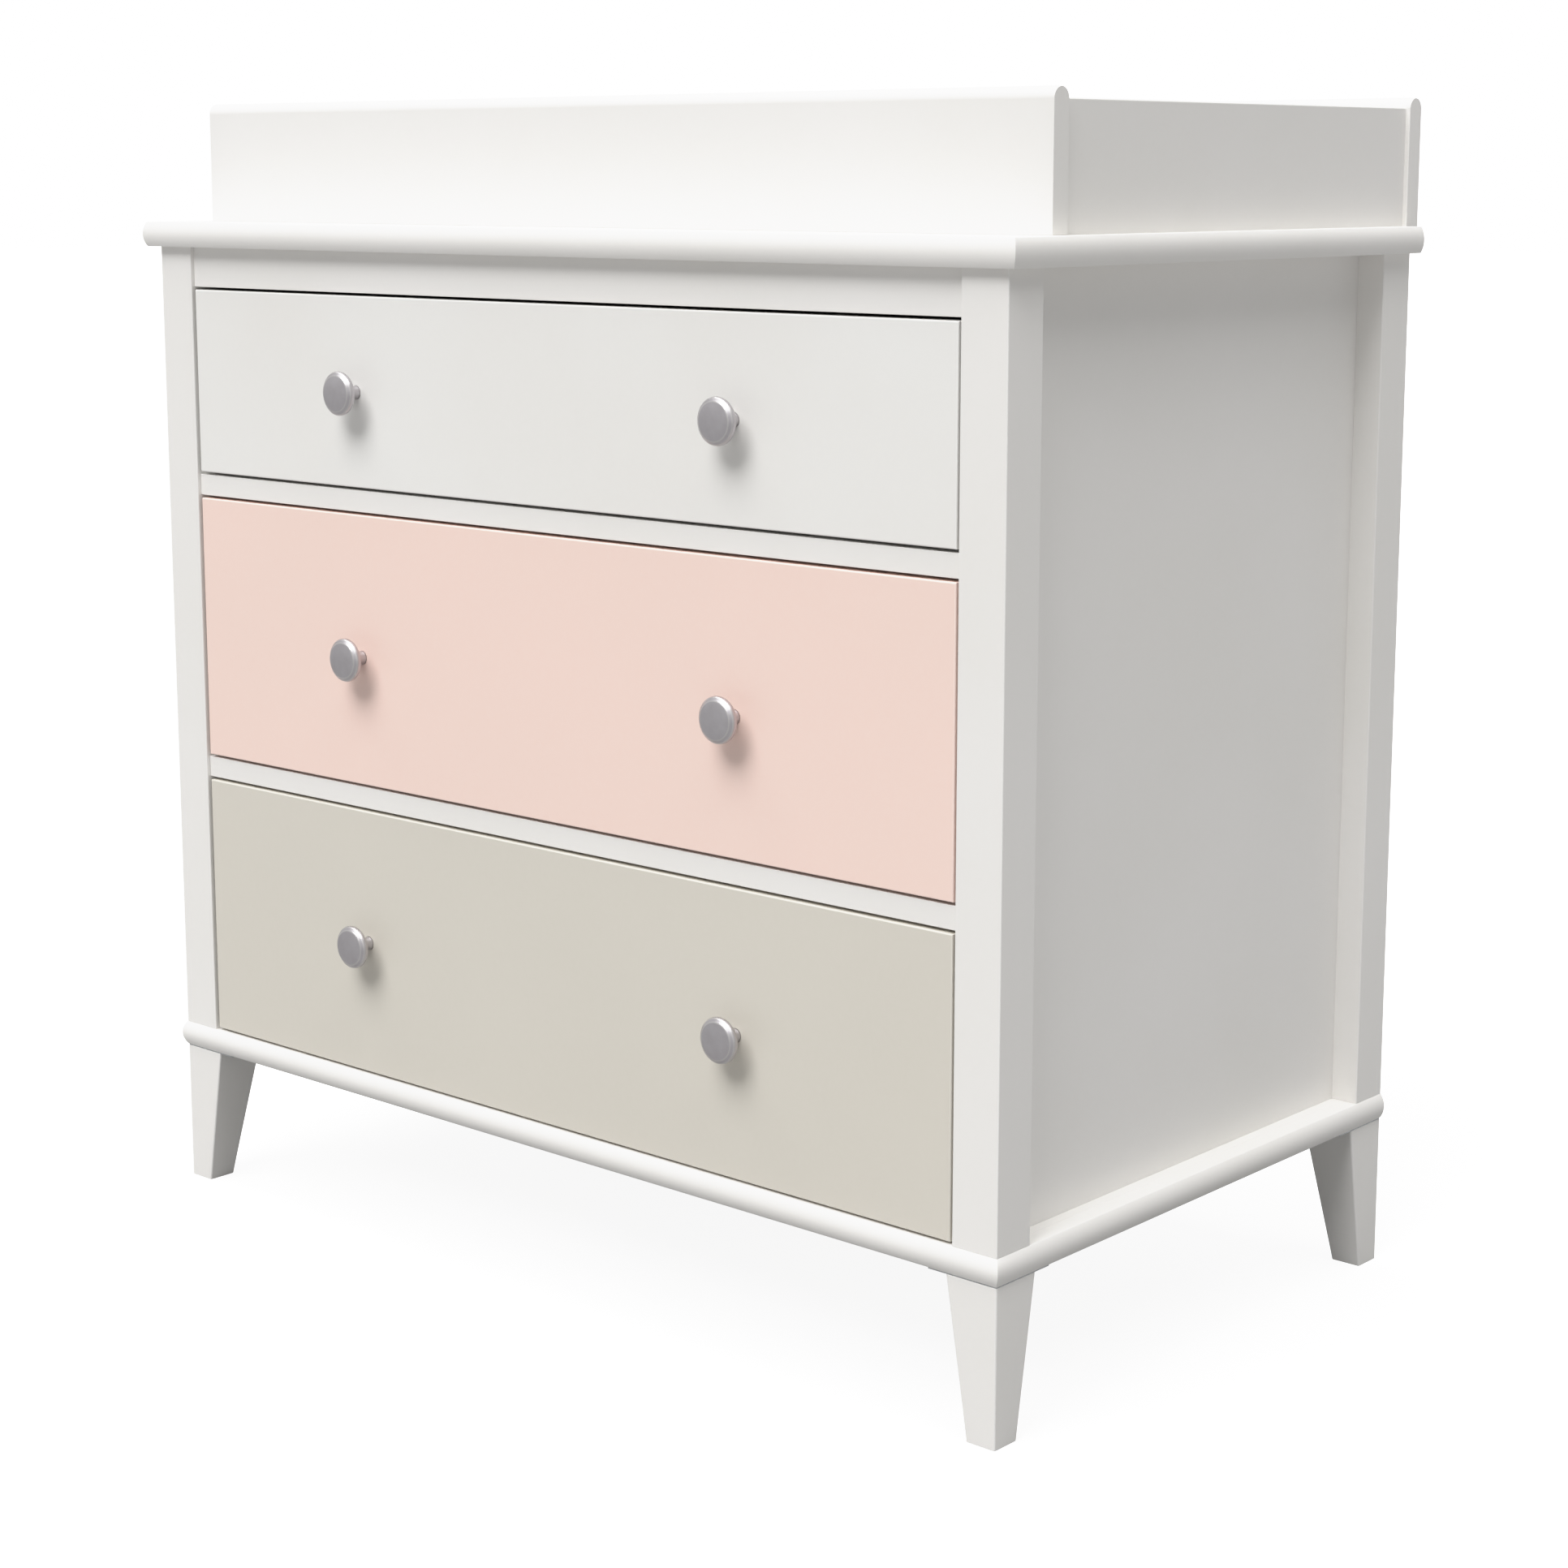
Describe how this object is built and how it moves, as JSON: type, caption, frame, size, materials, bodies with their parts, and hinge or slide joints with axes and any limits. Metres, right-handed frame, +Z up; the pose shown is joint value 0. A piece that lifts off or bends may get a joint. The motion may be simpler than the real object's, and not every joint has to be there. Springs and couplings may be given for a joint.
{
  "type": "changing table",
  "caption": "White nursery dresser with drawers in white, blush and greige, satin round knobs, tapered legs and a four-sided changing tray on top.",
  "frame": {"origin": "on the floor, under the middle of the overall box", "axes": "+Z up, -Y towards the user at the drawer fronts, +X to the user's right"},
  "size_m": [0.9756, 0.5806, 0.9885],
  "materials": {
    "painted_white": "satin white paint on fibreboard",
    "painted_soft_white": "satin soft-white paint on fibreboard",
    "painted_blush": "satin blush-pink paint on fibreboard",
    "painted_greige": "satin greige paint on fibreboard",
    "white_laminate": "white laminated particle board",
    "white_hardboard": "white-faced hardboard",
    "satin_nickel": "satin nickel-plated cast zinc",
    "powder_coated_steel": "white epoxy powder coat",
    "nylon": "natural white nylon",
    "zinc_plated_steel": "bright zinc plating"
  },
  "bodies": {
    "case": {"back_panel": "white_hardboard", "base_moulding_front": "painted_white", "base_moulding_left": "painted_white", "base_moulding_right": "painted_white", "base_panel": "painted_white", "cam_locks": "zinc_plated_steel", "case_runners": "powder_coated_steel", "leg_front_left": "painted_white", "leg_front_right": "painted_white", "leg_mounts": "zinc_plated_steel", "leg_rear_left": "painted_white", "leg_rear_right": "painted_white", "lower_rail": "painted_white", "post_front_left": "painted_white", "post_front_right": "painted_white", "post_rear_left": "painted_white", "post_rear_right": "painted_white", "rear_rail": "painted_white", "rear_screws": "zinc_plated_steel", "side_panel_left": "painted_white", "side_panel_right": "painted_white", "top_moulding_front": "painted_white", "top_moulding_left": "painted_white", "top_moulding_right": "painted_white", "top_panel": "painted_white", "top_rail": "painted_white", "tray_front_board": "painted_white", "tray_left_board": "painted_white", "tray_rear_board": "painted_white", "tray_right_board": "painted_white", "upper_rail": "painted_white", "wall_bracket": "zinc_plated_steel"},
    "bottom_drawer": {"bottom_drawer_back": "white_laminate", "bottom_drawer_bottom": "white_hardboard", "bottom_drawer_front": "painted_greige", "bottom_drawer_knobs": "satin_nickel", "bottom_drawer_left_side": "white_laminate", "bottom_drawer_right_side": "white_laminate", "bottom_drawer_runners": "powder_coated_steel"},
    "bottom_drawer_rollers": {"bottom_drawer_rollers": "nylon"},
    "bottom_case_rollers": {"case_rollers_bottom": "nylon"},
    "middle_drawer": {"middle_drawer_back": "white_laminate", "middle_drawer_bottom": "white_hardboard", "middle_drawer_front": "painted_blush", "middle_drawer_knobs": "satin_nickel", "middle_drawer_left_side": "white_laminate", "middle_drawer_right_side": "white_laminate", "middle_drawer_runners": "powder_coated_steel"},
    "middle_drawer_rollers": {"middle_drawer_rollers": "nylon"},
    "middle_case_rollers": {"case_rollers_middle": "nylon"},
    "top_drawer": {"top_drawer_back": "white_laminate", "top_drawer_bottom": "white_hardboard", "top_drawer_front": "painted_soft_white", "top_drawer_knobs": "satin_nickel", "top_drawer_left_side": "white_laminate", "top_drawer_right_side": "white_laminate", "top_drawer_runners": "powder_coated_steel"},
    "top_drawer_rollers": {"top_drawer_rollers": "nylon"},
    "top_case_rollers": {"case_rollers_top": "nylon"}
  },
  "joints": [
    {"name": "bottom_drawer_slide", "type": "slide", "parent": "case", "child": "bottom_drawer", "axis": [0, -1, 0], "range_m": [0, 0.29]},
    {"name": "bottom_drawer_rollers_spin", "type": "hinge", "parent": "bottom_drawer", "child": "bottom_drawer_rollers", "pos_m": [0, 0.13975, 0.1706], "axis": [1, 0, 0], "range_deg": [0, 2220]},
    {"name": "bottom_case_rollers_spin", "type": "hinge", "parent": "case", "child": "bottom_case_rollers", "pos_m": [0, -0.23375, 0.1706], "axis": [1, 0, 0], "range_deg": [0, 2220]},
    {"name": "middle_drawer_slide", "type": "slide", "parent": "case", "child": "middle_drawer", "axis": [0, -1, 0], "range_m": [0, 0.29]},
    {"name": "middle_drawer_rollers_spin", "type": "hinge", "parent": "middle_drawer", "child": "middle_drawer_rollers", "pos_m": [0, 0.13975, 0.4278], "axis": [1, 0, 0], "range_deg": [0, 2220]},
    {"name": "middle_case_rollers_spin", "type": "hinge", "parent": "case", "child": "middle_case_rollers", "pos_m": [0, -0.23375, 0.4278], "axis": [1, 0, 0], "range_deg": [0, 2220]},
    {"name": "top_drawer_slide", "type": "slide", "parent": "case", "child": "top_drawer", "axis": [0, -1, 0], "range_m": [0, 0.29]},
    {"name": "top_drawer_rollers_spin", "type": "hinge", "parent": "top_drawer", "child": "top_drawer_rollers", "pos_m": [0, 0.13975, 0.685], "axis": [1, 0, 0], "range_deg": [0, 2220]},
    {"name": "top_case_rollers_spin", "type": "hinge", "parent": "case", "child": "top_case_rollers", "pos_m": [0, -0.23375, 0.685], "axis": [1, 0, 0], "range_deg": [0, 2220]}
  ],
  "couplings": [
    {"joint": "bottom_drawer_rollers_spin", "follows": "bottom_drawer_slide", "rad_per_m": 133.33},
    {"joint": "bottom_case_rollers_spin", "follows": "bottom_drawer_slide", "rad_per_m": 133.33},
    {"joint": "middle_drawer_rollers_spin", "follows": "middle_drawer_slide", "rad_per_m": 133.33},
    {"joint": "middle_case_rollers_spin", "follows": "middle_drawer_slide", "rad_per_m": 133.33},
    {"joint": "top_drawer_rollers_spin", "follows": "top_drawer_slide", "rad_per_m": 133.33},
    {"joint": "top_case_rollers_spin", "follows": "top_drawer_slide", "rad_per_m": 133.33}
  ]
}
